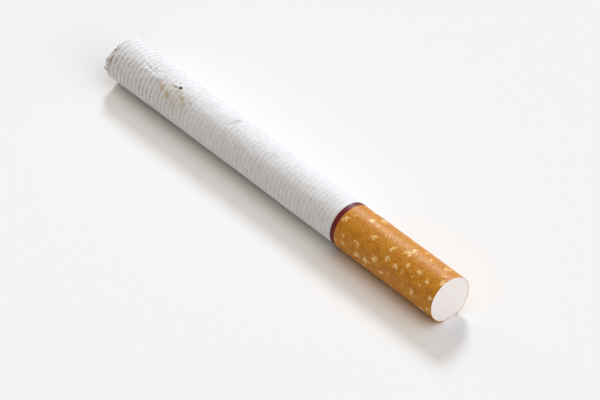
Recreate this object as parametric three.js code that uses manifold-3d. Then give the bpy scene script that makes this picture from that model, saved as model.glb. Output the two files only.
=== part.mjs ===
// A king-size filter cigarette, whole and unlit, lying on a flat surface.
// Millimetres, +Z up. The rod's axis runs along X, with the open tobacco end at -X and the
// filter's mouth end at +X. The origin is on the surface, under the middle of the length.
// Angles round the rod are 0 at the top and grow towards -Y, the side with the puncture.
import * as THREE from "three";
import { mergeVertices } from "three/addons/utils/BufferGeometryUtils.js";
import Module from "manifold-3d";

const wasm = await Module();
wasm.setup();
const degrees = THREE.MathUtils.degToRad;

// Overall sizes
const rodLength = 84; // from the cut tobacco end to the filter's face
const rodDiameter = 8.05; // over the cigarette paper, and over the plug wrap
const filterLength = 21;
const tippingLap = 4.1; // how far the tipping paper runs on over the tobacco rod
const flatWidth = 1.6; // the soft roll's flat spot, where it lies on the surface

// Papers and what is between them
const paperThickness = 0.04;
const plugWrapThickness = 0.04;
const tippingThickness = 0.045;
const lapWidth = 2; // each paper's glued lap
const glueGap = 0.012; // between the two layers of a lap
const layerGap = 0.01; // between a paper and what it is wrapped round
const buttGap = 0.1; // where the tobacco rod meets the filter, end to end

// Where each paper's lap starts
const paperSeamAngle = degrees(-150);
const plugWrapSeamAngle = degrees(-75);
const tippingSeamAngle = degrees(138);

// Tobacco: a pressed bed, and the loose shreds of the last few millimetres
const looseDepth = 3.2; // from the cut end back to the bed
const shredRings = [1, 6, 11, 16, 20]; // shreds in the middle and in each ring round it
const shredWidth = 0.75; // along its section, over the fold
const shredThickness = 0.12;
const shredFold = { least: degrees(20), most: degrees(60) }; // how far each half turns up
const shredGap = 0.03; // kept round each shred's own space
const shredSeatGap = 0.08; // between a shred's foot and the bed
const shredProud = 0.3; // how far the longest shreds stand past the cut
const shredShort = 0.8; // how far the shortest stay behind it
const shredTwist = degrees(160); // the most that a shred twists, either way
const shredTwistStep = degrees(28); // from section to section, or a folded strip's walls cross
const shredSteps = Math.ceil(shredTwist / shredTwistStep);

// Damage and unevenness. Each "at" is a distance from the cut end.
const swells = [
  { at: 2, reach: 9, height: 0.05 },
  { at: 35.5, reach: 6, height: -0.04 },
  { at: 47, reach: 5, height: 0.015 },
];
const squeeze = { amount: 0.07, reach: 7, angle: degrees(-45) }; // the cut end, pressed oval
const facet = { at: 30, reach: 1.5, angle: degrees(0), spread: degrees(17), depth: 0.15 };
const puncture = { at: 16.8, angle: degrees(17), diameter: 0.5 };
const tears = [
  { angle: degrees(94), spread: degrees(15), reach: -0.4 },
  { angle: degrees(30), spread: degrees(16), reach: 0.36 },
  { angle: degrees(142), spread: degrees(18), reach: 0.3 },
  { angle: degrees(-70), spread: degrees(22), reach: -0.25 },
  { angle: degrees(-125), spread: degrees(14), reach: 0.3 },
];

const settleLength = 3; // the rod rises off the surface by the tipping's thickness

// Resolution
const roundSteps = 52; // facets over the round of the section
const flatSteps = 4; // and over its flat spot
const stationStep = 5; // along the rod
const cutEndStations = [1, 2.5]; // extra ones, from the cut end
const facetStations = [-1.6, -0.9, -0.4, 0.4, 0.9, 1.6]; // and in the facet's own reach
const leastStep = 0.5; // between a piece's end and its next station
const punchSides = 9;

// Places along the axis
const tearReach = Math.max(...tears.map((tear) => -tear.reach));
const filterEndX = (rodLength + tearReach) / 2;
const cutEndX = filterEndX - rodLength;
const jointX = filterEndX - filterLength;
const tippingEdgeX = jointX - tippingLap;
const bedX = cutEndX + looseDepth;

// Places round the axis
const rodR = rodDiameter / 2;
const tippingR = rodR + layerGap + tippingThickness;
const axisHeight = Math.sqrt(tippingR ** 2 - (flatWidth / 2) ** 2);
const flatHalfAngle = Math.asin(flatWidth / 2 / tippingR);
const sectionSteps = roundSteps + flatSteps;

// Helpers for the forms
const bell = (t) => Math.exp(-t * t);
const turnBetween = (a, b) => Math.atan2(Math.sin(a - b), Math.cos(a - b));

// The angle of section line k. The lines are shared by every layer: they start at one edge
// of the flat spot, go over the top to its other edge, and close across the flat.
function lineAngle(k) {
  const turns = Math.floor(k / sectionSteps);
  const step = k - turns * sectionSteps;
  const roundArc = 2 * Math.PI - 2 * flatHalfAngle;
  const start = Math.PI + flatHalfAngle - 2 * Math.PI;
  const along = Math.min(step, roundSteps) / roundSteps;
  const across = Math.max(step - roundSteps, 0) / flatSteps;
  return start + turns * 2 * Math.PI + along * roundArc + across * 2 * flatHalfAngle;
}

// The section line nearest to an angle, and the number of steps that an arc length takes
function lineAt(angle) {
  const away = (k) => Math.abs(turnBetween(lineAngle(k), angle));
  const lines = [...Array(sectionSteps).keys()];
  return lines.reduce((best, k) => (away(k) < away(best) ? k : best), 0);
}
const lapSteps = Math.max(1, Math.round((lapWidth / (2 * Math.PI * rodR)) * sectionSteps));

const pointAt = (x, radius, angle) =>
  new THREE.Vector3(x, -radius * Math.sin(angle), axisHeight + radius * Math.cos(angle));

// How far out a surface may reach before it passes a level "height" above the surface
function floorLimit(height, angle) {
  const down = -Math.cos(angle);
  return down > 0 ? (axisHeight - height) / down : Infinity;
}

// The level of the rod's own flat spot: on the surface where it is bare, and a tipping
// paper's thickness above it under the tipping
function flatHeight(x) {
  const rise = THREE.MathUtils.smoothstep(x, tippingEdgeX - settleLength, tippingEdgeX);
  return rise * (layerGap + tippingThickness);
}

// The radius over the cigarette paper's first layer
function rodRadius(x, angle) {
  const d = x - cutEndX;
  const swell = swells.reduce((sum, s) => sum + s.height * bell((d - s.at) / s.reach), 0);
  const oval = squeeze.amount * bell(d / squeeze.reach) * Math.cos(2 * (angle - squeeze.angle));
  const across = bell(turnBetween(angle, facet.angle) / facet.spread);
  const flattened = facet.depth * bell((d - facet.at) / facet.reach) * across;
  return Math.min(rodR + swell + oval - flattened, floorLimit(flatHeight(x), angle));
}

const plugWrapRadius = (x, angle) => Math.min(rodR, floorLimit(flatHeight(x), angle));

// A lap lifts whatever lies over it, from its seam line on
function lapLift(k, seamLine, thickness) {
  const past = (((k - seamLine) % sectionSteps) + sectionSteps) % sectionSteps;
  return past <= lapSteps ? thickness + glueGap : 0;
}

// What the tipping paper is wrapped round: the cigarette paper up to the joint, and then
// the plug wrap, each with its own lap
function underTipping(x, k) {
  const angle = lineAngle(k);
  if (x < jointX) {
    return rodRadius(x, angle) + lapLift(k, lineAt(paperSeamAngle), paperThickness);
  }
  return plugWrapRadius(x, angle) + lapLift(k, lineAt(plugWrapSeamAngle), plugWrapThickness);
}

// The cut end's torn line, as a distance back from the mean cut
const tearBack = (angle) =>
  tears.reduce((sum, t) => sum + t.reach * bell(turnBetween(angle, t.angle) / t.spread), 0);

// Stations along the tobacco rod: even steps, with more at the cut end and over the facet
function rodStations(from, to) {
  const marks = cutEndStations.map((d) => cutEndX + d);
  for (let x = cutEndX + stationStep; x < jointX; x += stationStep) marks.push(x);
  marks.push(...facetStations.map((t) => cutEndX + facet.at + t * facet.reach));
  marks.push(tippingEdgeX - settleLength, tippingEdgeX - settleLength / 2, tippingEdgeX);
  const inside = marks.filter((x) => x > from + leastStep && x < to - leastStep);
  return [from, ...inside.sort((a, b) => a - b), to];
}

// A closed body from two grids of points, [station][line], that face each other: the rows
// and columns at the four edges are joined by strips.
function sheetGeometry(outer, inner) {
  const rows = outer.length;
  const columns = outer[0].length;
  const points = [...outer.flat(), ...inner.flat()];
  const out = (i, j) => i * columns + j;
  const back = (i, j) => (rows + i) * columns + j;
  const faces = [];
  const quad = (a, b, c, d) => faces.push(a, b, c, a, c, d);
  for (let i = 0; i + 1 < rows; i++) {
    for (let j = 0; j + 1 < columns; j++) {
      quad(out(i, j), out(i, j + 1), out(i + 1, j + 1), out(i + 1, j));
      quad(back(i, j), back(i + 1, j), back(i + 1, j + 1), back(i, j + 1));
    }
    quad(out(i, 0), out(i + 1, 0), back(i + 1, 0), back(i, 0));
    const last = columns - 1;
    quad(out(i + 1, last), out(i, last), back(i, last), back(i + 1, last));
  }
  for (let j = 0; j + 1 < columns; j++) {
    quad(out(0, j + 1), out(0, j), back(0, j), back(0, j + 1));
    const last = rows - 1;
    quad(out(last, j), out(last, j + 1), back(last, j + 1), back(last, j));
  }
  return geometryOf(points, faces);
}

// The flat end of a round body: a fan round the ring's middle
function fanCap(points, ring) {
  const middle = new THREE.Vector3();
  ring.forEach((n) => middle.add(points[n]));
  const pole = points.push(middle.divideScalar(ring.length)) - 1;
  return ring.flatMap((n, j) => [pole, ring[(j + 1) % ring.length], n]);
}

// The flat end of a folded strip, whose middle may lie outside it: the two long sides of the
// section are joined point by point
function stripCap(points, ring) {
  const faces = [];
  for (let j = 0; j + 1 < ring.length / 2; j++) {
    const [near, far] = [ring[ring.length - 1 - j], ring[ring.length - 2 - j]];
    faces.push(ring[j + 1], ring[j], near, ring[j + 1], near, far);
  }
  return faces;
}

// A closed body through rings of points, with a cap over the first and the last ring
function loftGeometry(rings, cap) {
  const columns = rings[0].length;
  const last = rings.length - 1;
  const points = rings.flat();
  const at = (i, j) => i * columns + (j % columns);
  const faces = [];
  for (let j = 0; j < columns; j++) {
    for (let i = 0; i < last; i++) {
      faces.push(at(i, j), at(i, j + 1), at(i + 1, j + 1));
      faces.push(at(i, j), at(i + 1, j + 1), at(i + 1, j));
    }
  }
  const ringOf = (i) => rings[i].map((_, j) => at(i, j));
  faces.push(...cap(points, ringOf(0)), ...cap(points, ringOf(last).reverse()));
  return geometryOf(points, faces);
}

function geometryOf(points, faces) {
  const geometry = new THREE.BufferGeometry();
  geometry.setAttribute(
    "position",
    new THREE.Float32BufferAttribute(points.flatMap((p) => p.toArray()), 3),
  );
  geometry.setIndex(faces);
  geometry.computeVertexNormals();
  return geometry;
}

// A paper rolled once round what is under it, from its seam line back to that line and on
// over its own start by the lap, where it rides on the first layer
function rolledPaper({ stations, seamAngle, thickness, under, startShift, outerLimit }) {
  const seamLine = lineAt(seamAngle);
  const lines = [];
  for (let k = seamLine; k <= seamLine + sectionSteps + lapSteps; k++) lines.push(k);
  const layer = (x, k, across) => {
    const angle = lineAngle(k);
    const ride = k >= seamLine + sectionSteps ? thickness + glueGap : 0;
    const radius = under(x, k) + layerGap + ride + across;
    const place = x === stations[0] ? x + startShift(angle) : x;
    return pointAt(place, Math.min(radius, outerLimit(angle)), angle);
  };
  const grid = (across) => stations.map((x) => lines.map((k) => layer(x, k, across)));
  return sheetGeometry(grid(thickness), grid(0));
}

const noShift = () => 0;
const onSurface = (angle) => floorLimit(0, angle);

// Solid to manifold and back, for the one piece that is cut by another body
function solidOf(geometry) {
  const bare = geometry.clone();
  bare.deleteAttribute("normal");
  bare.deleteAttribute("uv");
  const merged = mergeVertices(bare, 1e-5);
  return new wasm.Manifold(
    new wasm.Mesh({
      numProp: 3,
      vertProperties: new Float32Array(merged.attributes.position.array),
      triVerts: new Uint32Array(merged.index.array),
    }),
  );
}

function geometryFrom(solid) {
  const mesh = solid.getMesh();
  const geometry = new THREE.BufferGeometry();
  geometry.setAttribute("position", new THREE.BufferAttribute(mesh.vertProperties, 3));
  geometry.setIndex(new THREE.BufferAttribute(mesh.triVerts, 1));
  geometry.computeVertexNormals();
  return geometry;
}

// The tobacco rod's bed of pressed shreds
function tobaccoBed() {
  const inset = paperThickness + layerGap;
  const rings = rodStations(bedX, jointX - buttGap / 2).map((x) =>
    [...Array(sectionSteps).keys()].map((k) => {
      const angle = lineAngle(k);
      return pointAt(x, rodRadius(x, angle) - inset, angle);
    }),
  );
  return loftGeometry(rings, fanCap);
}

// The cigarette paper, torn at the cut end and pierced once
function cigarettePaper() {
  const sheet = rolledPaper({
    stations: rodStations(cutEndX, jointX - buttGap / 2),
    seamAngle: paperSeamAngle,
    thickness: paperThickness,
    under: (x, k) => rodRadius(x, lineAngle(k)) - paperThickness - layerGap,
    startShift: tearBack,
    outerLimit: onSurface,
  });
  const holeR = puncture.diameter / 2;
  const punch = new THREE.CylinderGeometry(holeR, holeR, 2 * puncture.diameter, punchSides);
  punch.rotateX(Math.PI / 2 + puncture.angle);
  const middle = pointAt(cutEndX + puncture.at, rodR, puncture.angle);
  punch.translate(middle.x, middle.y, middle.z);
  return geometryFrom(solidOf(sheet).subtract(solidOf(punch)));
}

// The filter: a plug of fibre, its wrap, and the tipping paper that ties it to the rod
function filterPlug() {
  const inset = plugWrapThickness + layerGap;
  const rings = [jointX + buttGap / 2, filterEndX].map((x) =>
    [...Array(sectionSteps).keys()].map((k) => {
      const angle = lineAngle(k);
      return pointAt(x, plugWrapRadius(x, angle) - inset, angle);
    }),
  );
  return loftGeometry(rings, fanCap);
}

const plugWrap = () =>
  rolledPaper({
    stations: [jointX + buttGap / 2, filterEndX],
    seamAngle: plugWrapSeamAngle,
    thickness: plugWrapThickness,
    under: (x, k) => plugWrapRadius(x, lineAngle(k)) - plugWrapThickness - layerGap,
    startShift: noShift,
    outerLimit: onSurface,
  });

const tippingPaper = () =>
  rolledPaper({
    stations: [tippingEdgeX, jointX - buttGap / 2, jointX + buttGap / 2, filterEndX],
    seamAngle: tippingSeamAngle,
    thickness: tippingThickness,
    under: underTipping,
    startShift: noShift,
    outerLimit: onSurface,
  });

// A repeatable scatter between 0 and 1
function scatter(seed) {
  let state = seed;
  return () => {
    state = (state * 1664525 + 1013904223) % 4294967296;
    return state / 4294967296;
  };
}

// The space that each loose shred has to itself: one in the middle and rings round it
const mouthR = rodR - paperThickness - layerGap - squeeze.amount;
const shredPitch = mouthR / (shredRings.length - 0.5);

function shredPlaces() {
  return shredRings.flatMap((count, ring) =>
    [...Array(count).keys()].map((n) => {
      const angle = ((n + 0.5 * (ring % 2)) / count) * 2 * Math.PI;
      return { radius: ring * shredPitch, angle };
    }),
  );
}

// A shred's section: a strip of leaf, half of it turned up each way from the fold in the
// middle. The strip's lower side comes first, and the points go round it once.
function shredSection(fold) {
  const half = shredWidth / 2;
  const rise = [-1, 0, 1].map((side) => ({
    across: side * half * Math.cos(fold),
    up: Math.abs(side) * half * Math.sin(fold) - (half * Math.sin(fold)) / 2,
  }));
  const normal = (side) => ({ across: -side * Math.sin(fold), up: Math.cos(fold) });
  const offset = (point, side, by) => {
    const n = side === 0 ? { across: 0, up: 1 / Math.cos(fold) } : normal(side);
    return [point.across + n.across * by, point.up + n.up * by];
  };
  const edge = (by) => rise.map((point, n) => offset(point, n - 1, by));
  return [...edge(-shredThickness / 2), ...edge(shredThickness / 2).reverse()];
}

// One shred: a folded ribbon of cut leaf that twists and sways on its way out of the bed
function tobaccoShred(place, random) {
  const section = shredSection(
    THREE.MathUtils.lerp(shredFold.least, shredFold.most, random()),
  );
  const reach = Math.max(...section.map(([across, up]) => Math.hypot(across, up)));
  const sway = Math.max(0, shredPitch / 2 - reach - shredGap);
  const foot = bedX - shredSeatGap;
  const tip = cutEndX - shredProud + random() * (shredProud + shredShort);
  const turn = random() * 2 * Math.PI;
  const twist = (2 * random() - 1) * shredTwist;
  const bend = random() * 2 * Math.PI;
  const rings = [];
  for (let i = 0; i <= shredSteps; i++) {
    const t = i / shredSteps;
    const middle = pointAt(THREE.MathUtils.lerp(tip, foot, t), place.radius, place.angle);
    middle.y += sway * Math.cos(bend + t * Math.PI);
    middle.z += sway * Math.sin(bend + t * Math.PI);
    const lie = turn + t * twist;
    const wide = new THREE.Vector3(0, Math.cos(lie), Math.sin(lie));
    const thick = new THREE.Vector3(0, -Math.sin(lie), Math.cos(lie));
    rings.push(
      section.map(([across, up]) =>
        middle.clone().addScaledVector(wide, across).addScaledVector(thick, up),
      ),
    );
  }
  return loftGeometry(rings, stripCap);
}

// Finishes
const finish = (color, roughness) =>
  new THREE.MeshStandardMaterial({ color, roughness, metalness: 0 });
const tobaccoFinish = finish(0x9a6a3a, 0.85);
const shredFinish = finish(0x8a5a2c, 0.8);
const paperFinish = finish(0xf2f1f3, 0.8);
const fibreFinish = finish(0xf1eeee, 0.7);
const plugWrapFinish = finish(0xf7f6f6, 0.75);
const corkFinish = finish(0xd8893a, 0.55);

const cigarette = new THREE.Group();

function addPiece(name, geometry, material) {
  const mesh = new THREE.Mesh(geometry, material);
  mesh.name = name;
  cigarette.add(mesh);
}

addPiece("tobacco_filler", tobaccoBed(), tobaccoFinish);
addPiece("cigarette_paper", cigarettePaper(), paperFinish);
addPiece("filter_plug", filterPlug(), fibreFinish);
addPiece("plug_wrap", plugWrap(), plugWrapFinish);
addPiece("tipping_paper", tippingPaper(), corkFinish);

const random = scatter(11);
shredPlaces().forEach((place, n) => {
  const number = String(n + 1).padStart(2, "0");
  addPiece(`tobacco_shred_${number}`, tobaccoShred(place, random), shredFinish);
});

export default cigarette;
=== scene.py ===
# %% [markdown]
# A filter cigarette, lying unlit on a white surface
#
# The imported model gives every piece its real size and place. This lesson makes the pieces that
# the eye sees: three rolled papers, a plug of white fibre and the cut tobacco that fills the
# tube. Papers are rolled up from flat sheets, as the factory does it, because then the print
# on the sheet, its lap and its torn edge all come out where they are on the real thing.

# %% Load the frame
import math
import random

import bpy
import numpy as np
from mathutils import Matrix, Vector, noise


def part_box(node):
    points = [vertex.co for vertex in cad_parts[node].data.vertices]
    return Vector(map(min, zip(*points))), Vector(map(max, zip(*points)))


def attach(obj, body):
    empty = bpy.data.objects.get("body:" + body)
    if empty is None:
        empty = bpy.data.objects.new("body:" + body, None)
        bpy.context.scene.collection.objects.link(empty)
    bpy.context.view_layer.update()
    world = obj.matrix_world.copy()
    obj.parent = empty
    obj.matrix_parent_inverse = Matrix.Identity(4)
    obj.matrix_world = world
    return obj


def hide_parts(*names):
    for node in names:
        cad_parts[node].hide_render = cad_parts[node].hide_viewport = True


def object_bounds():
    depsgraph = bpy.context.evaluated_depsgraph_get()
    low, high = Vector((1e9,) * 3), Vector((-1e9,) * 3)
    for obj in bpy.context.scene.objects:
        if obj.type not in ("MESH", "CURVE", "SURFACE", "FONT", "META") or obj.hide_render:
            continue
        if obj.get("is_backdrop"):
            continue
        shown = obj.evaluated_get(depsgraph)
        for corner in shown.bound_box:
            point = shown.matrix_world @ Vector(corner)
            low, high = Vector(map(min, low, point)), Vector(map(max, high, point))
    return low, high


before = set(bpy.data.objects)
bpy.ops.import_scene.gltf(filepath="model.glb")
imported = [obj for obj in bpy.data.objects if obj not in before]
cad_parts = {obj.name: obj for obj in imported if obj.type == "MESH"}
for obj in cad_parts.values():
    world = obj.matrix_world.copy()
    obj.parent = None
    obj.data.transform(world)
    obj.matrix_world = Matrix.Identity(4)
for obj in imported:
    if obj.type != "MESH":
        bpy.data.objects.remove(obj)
cad_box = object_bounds()
print("the packed model holds", len(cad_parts), "nodes")

# %% [markdown]
# Sizes
#
# All lengths are in metres, so a millimetre has a name of its own. What the frame can tell is
# read from it: where the filter ends, where it meets the tobacco, where the tipping paper
# starts. Angles round the rod are 0 at the top and grow towards -Y, the side nearest to us.

# %% Sizes and places
MM = 0.001
ROD_LENGTH = 84 * MM
ROD_RADIUS = 8.05 / 2 * MM
FLAT_WIDTH = 1.6 * MM
PAPER_THICKNESS = 0.04 * MM
TIPPING_THICKNESS = 0.045 * MM
GLUE_GAP = 0.012 * MM
LAYER_GAP = 0.01 * MM
LAP_WIDTH = 2 * MM
LAP_RAMP = 0.3 * MM / ROD_RADIUS  # the turn in which a layer climbs onto a lap
BUTT_GAP = 0.1 * MM
SETTLE_LENGTH = 3 * MM
SMOOTH_ANGLE = math.radians(50)

PAPER_SEAM = math.radians(-150)
PLUG_WRAP_SEAM = math.radians(-75)
TIPPING_SEAM = math.radians(138)

filter_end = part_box("filter_plug")[1].x
joint_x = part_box("filter_plug")[0].x - BUTT_GAP / 2
tipping_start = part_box("tipping_paper")[0].x
bed_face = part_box("tobacco_filler")[0].x
cut_end = filter_end - ROD_LENGTH
tipping_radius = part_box("tipping_paper")[1].y
axis_height = math.sqrt(tipping_radius**2 - (FLAT_WIDTH / 2) ** 2)
print("cut end at", round(cut_end / MM, 2), "mm, axis", round(axis_height / MM, 3), "mm up")

# %% [markdown]
# Camera
#
# A long lens from far away keeps the rod's two sides almost parallel, as in the photograph.
# The camera is placed by two angles and a distance from the point that it looks at.

# %% Camera
CAMERA_AZIMUTH = math.radians(49.94)
CAMERA_ELEVATION = math.radians(38.82)
CAMERA_TARGET = Vector((7.29, -2.05, 4.00)) * MM
CAMERA_DISTANCE = 706.9 * MM
LENS_MM = 257.2
SENSOR_MM = 36


def direction(azimuth, elevation):
    """The way from the object towards a place at these angles; azimuth 0 is at -Y."""
    level = math.cos(elevation)
    x, y = math.sin(azimuth) * level, -math.cos(azimuth) * level
    return Vector((x, y, math.sin(elevation)))


towards_camera = direction(CAMERA_AZIMUTH, CAMERA_ELEVATION)
camera_data = bpy.data.cameras.new("camera")
camera_data.lens = LENS_MM
camera_data.sensor_width = SENSOR_MM
camera = bpy.data.objects.new("camera", camera_data)
camera.location = CAMERA_TARGET + towards_camera * CAMERA_DISTANCE
camera.rotation_euler = towards_camera.to_track_quat("Z", "Y").to_euler()
bpy.context.scene.collection.objects.link(camera)
bpy.context.scene.camera = camera
bpy.context.scene.view_settings.view_transform = "Standard"
print("camera at", [round(v, 3) for v in camera.location])

# %% [markdown]
# Small helpers for nodes
#
# A material is a graph of nodes. Two helpers keep the graph readable: one adds a node and
# plugs in its inputs, which may be numbers or other nodes' sockets, and one opens a new node
# group with named inputs and outputs, so that an effect is built once and used by several
# materials.


# %% Node helpers
def add_node(tree, kind, inputs=None, **settings):
    node = tree.nodes.new(kind)
    for name, value in settings.items():
        setattr(node, name, value)
    for name, value in (inputs or {}).items():
        if isinstance(value, bpy.types.NodeSocket):
            tree.links.new(value, node.inputs[name])
        else:
            node.inputs[name].default_value = value
    return node


def calculate(tree, operation, *values):
    inputs = dict(enumerate(values))
    return add_node(tree, "ShaderNodeMath", inputs, operation=operation).outputs[0]


def fade(tree, value, low, high, from_value=0.0, to_value=1.0):
    """A soft step: from_value below low, to_value above high."""
    sockets = {0: value, 1: low, 2: high, 3: from_value, 4: to_value}
    soft = {"interpolation_type": "SMOOTHSTEP"}
    return add_node(tree, "ShaderNodeMapRange", sockets, **soft).outputs[0]


def grain(tree, vector, scale, detail=2.0, roughness=0.5, distortion=0.0):
    sockets = {"Vector": vector, "Scale": scale, "Detail": detail}
    sockets |= {"Roughness": roughness, "Distortion": distortion}
    return add_node(tree, "ShaderNodeTexNoise", sockets).outputs[0]


def multiply(tree, *values):
    product = values[0]
    for value in values[1:]:
        product = calculate(tree, "MULTIPLY", product, value)
    return product


def combine(tree, operation, first, second):
    """Two vectors make a third, or a number where the operation gives one."""
    sockets = {0: first, 1: second}
    node = add_node(tree, "ShaderNodeVectorMath", sockets, operation=operation)
    number = operation in ("DISTANCE", "DOT_PRODUCT")
    return node.outputs["Value" if number else "Vector"]


def stretched(tree, vector, scale):
    return combine(tree, "MULTIPLY", vector, scale)


def scaled(tree, vector, factor):
    sockets = {0: vector, "Scale": factor}
    return add_node(tree, "ShaderNodeVectorMath", sockets, operation="SCALE").outputs[0]


def blend_colours(tree, factor, first, second, blend_type="MIX"):
    sockets = {"Factor": factor, 6: first, 7: second}
    settings = {"data_type": "RGBA", "blend_type": blend_type}
    return add_node(tree, "ShaderNodeMix", sockets, **settings).outputs[2]


def new_group(name, inputs, outputs):
    """An empty node group. Inputs map a name to its kind and value, outputs a name to a kind."""
    group = bpy.data.node_groups.new(name, "ShaderNodeTree")
    new_socket = group.interface.new_socket
    for socket, (kind, value) in inputs.items():
        made = new_socket(socket, in_out="INPUT", socket_type="NodeSocket" + kind)
        if value is not None:
            made.default_value = value
    for socket, kind in outputs.items():
        new_socket(socket, in_out="OUTPUT", socket_type="NodeSocket" + kind)
    start = group.nodes.new("NodeGroupInput")
    end = group.nodes.new("NodeGroupOutput")
    return group, start.outputs, end.inputs


def use_group(tree, group, inputs):
    return add_node(tree, "ShaderNodeGroup", inputs, node_tree=group).outputs


def new_material(name, roughness, specular):
    """A material with a plain Principled shader, whose fixed values sit on its sockets."""
    material = bpy.data.materials.new(name)
    material.use_nodes = True
    shader = material.node_tree.nodes["Principled BSDF"]
    shader.inputs["Roughness"].default_value = roughness
    shader.inputs["Specular IOR Level"].default_value = specular
    return material, material.node_tree, shader


def finish_surface(tree, shader, colour, height, depth):
    """Plugs in the colour, and a height of about 0 to 1 as fine relief of this depth."""
    tree.links.new(colour, shader.inputs["Base Color"])
    sockets = {"Height": height, "Distance": depth, "Strength": 1.0}
    node = add_node(tree, "ShaderNodeBump", sockets)
    tree.links.new(node.outputs[0], shader.inputs["Normal"])


print("node helpers are ready")

# %% [markdown]
# Light and floor
#
# The photograph has one lamp behind the object on the far left, whose shadow has a slightly
# soft edge, and soft, white light from overhead and from both ends of the rod. Little comes
# from the side nearest to us, so the shadow there is deep. A sun lamp makes the first. A
# world with four soft lobes makes the rest: each falls off from its middle with a power of
# the cosine. Seen directly or in a reflection, the world is plain white.

# %% Lamp and world
SUN_AZIMUTH = math.radians(227)
SUN_ELEVATION = math.radians(35.5)
SUN_ANGLE = math.radians(14)
SUN_STRENGTH = 1.95
SUN_COLOUR = (0.83, 0.91, 1.0)
SOFT_LIGHTS = [
    (90, 10, (2.75, 2.5, 2.05)),
    (-90, 38, (1.6, 1.32, 0.95)),
    (90, 64, (0.74, 0.72, 0.74)),
    (135, 64, (1.25, 1.36, 1.56)),
]  # azimuth and elevation in degrees, light in red, green and blue
SOFT_FALLOFF = 8
SEEN_WHITE = (0.93, 0.93, 0.93, 1)

sun_data = bpy.data.lights.new("softbox", "SUN")
sun_data.energy = SUN_STRENGTH
sun_data.angle = SUN_ANGLE
sun_data.color = SUN_COLOUR
sun = bpy.data.objects.new("softbox", sun_data)
towards_sun = direction(SUN_AZIMUTH, SUN_ELEVATION)
sun.rotation_euler = towards_sun.to_track_quat("Z", "Y").to_euler()
bpy.context.scene.collection.objects.link(sun)


def make_world():
    world = bpy.data.worlds.new("studio")
    world.use_nodes = True
    tree = world.node_tree
    tree.nodes.clear()
    way = add_node(tree, "ShaderNodeTexCoord").outputs["Generated"]
    total = (0, 0, 0)
    for azimuth, elevation, light in SOFT_LIGHTS:
        side = direction(math.radians(azimuth), math.radians(elevation))
        facing = calculate(tree, "MAXIMUM", combine(tree, "DOT_PRODUCT", way, side), 0.0)
        lobe = calculate(tree, "POWER", facing, SOFT_FALLOFF)
        total = combine(tree, "ADD", total, scaled(tree, light, lobe))
    fill = add_node(tree, "ShaderNodeBackground", {"Color": total})
    seen = add_node(tree, "ShaderNodeBackground", {"Color": SEEN_WHITE})
    path = add_node(tree, "ShaderNodeLightPath").outputs
    mirrored = calculate(tree, "MAXIMUM", path["Is Glossy Ray"], path["Is Transmission Ray"])
    sees_white = calculate(tree, "MAXIMUM", path["Is Camera Ray"], mirrored)
    mixed = add_node(tree, "ShaderNodeMixShader", {0: sees_white})
    tree.links.new(fill.outputs[0], mixed.inputs[1])
    tree.links.new(seen.outputs[0], mixed.inputs[2])
    output = add_node(tree, "ShaderNodeOutputWorld")
    tree.links.new(mixed.outputs[0], output.inputs[0])
    return world


bpy.context.scene.world = make_world()
print("one lamp and", len(SOFT_LIGHTS), "soft sides of the world")

# %% Floor
FLOOR_SIZE = 6
FLOOR_COLOUR = (0.925, 0.92, 0.91, 1)
FLOOR_SPECK = (0.911125, 0.9062, 0.89635, 1)


def start_piece(name, operator, **options):
    """Adds a primitive with nothing else selected, and names it."""
    bpy.ops.object.select_all(action="DESELECT")
    operator(**options)
    piece = bpy.context.active_object
    piece.name = name
    return piece


def floor_finish():
    material, tree, shader = new_material("white surface", 0.9, 0.1)
    place = add_node(tree, "ShaderNodeTexCoord").outputs["Object"]
    specks = grain(tree, place, 900, 3)
    colour = blend_colours(tree, specks, FLOOR_SPECK, FLOOR_COLOUR)
    tree.links.new(colour, shader.inputs["Base Color"])
    return material


floor = start_piece("floor", bpy.ops.mesh.primitive_plane_add, size=FLOOR_SIZE)
floor.data.materials.append(floor_finish())
floor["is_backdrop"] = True
print("floor", FLOOR_SIZE, "m wide")

# %% [markdown]
# The rod's shape
#
# Every layer follows the same shape: a round rod with a small flat where it lies, a swelling
# near the cut end, which was pressed a little oval, a leaf-shaped dent where the rod was
# once bent, and the lumps that the tobacco presses into its paper. One function gives this
# shape as a radius for each place, so the layers stay parallel and never cut each other.

# %% Swellings, dent and creases
SWELLS = [(2, 9, 0.05), (35.5, 6, -0.04), (47, 5, 0.015)]  # at, reach, height, mm
OVAL_AMOUNT = 0.07 * MM
OVAL_REACH = 7 * MM
OVAL_ANGLE = math.radians(-45)
DENT_AT = 30.4 * MM
DENT_RUN = 1.5 * MM
DENT_STEP = 0.28 * MM
DENT_DEPTH = 0.25 * MM
DENT_ANGLE = math.radians(4)
DENT_LEAN = 0.28
LUMP_HEIGHT = 0.05 * MM
LUMP_SIZE = np.array([3.4, 1.1])  # along and round, mm
CRUMPLE_HEIGHT = 0.24 * MM
CRUMPLE_AT = (9.8, 26)  # distance from the cut end in mm, angle in degrees
CRUMPLE_REACH = (4.5, 24)

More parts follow.
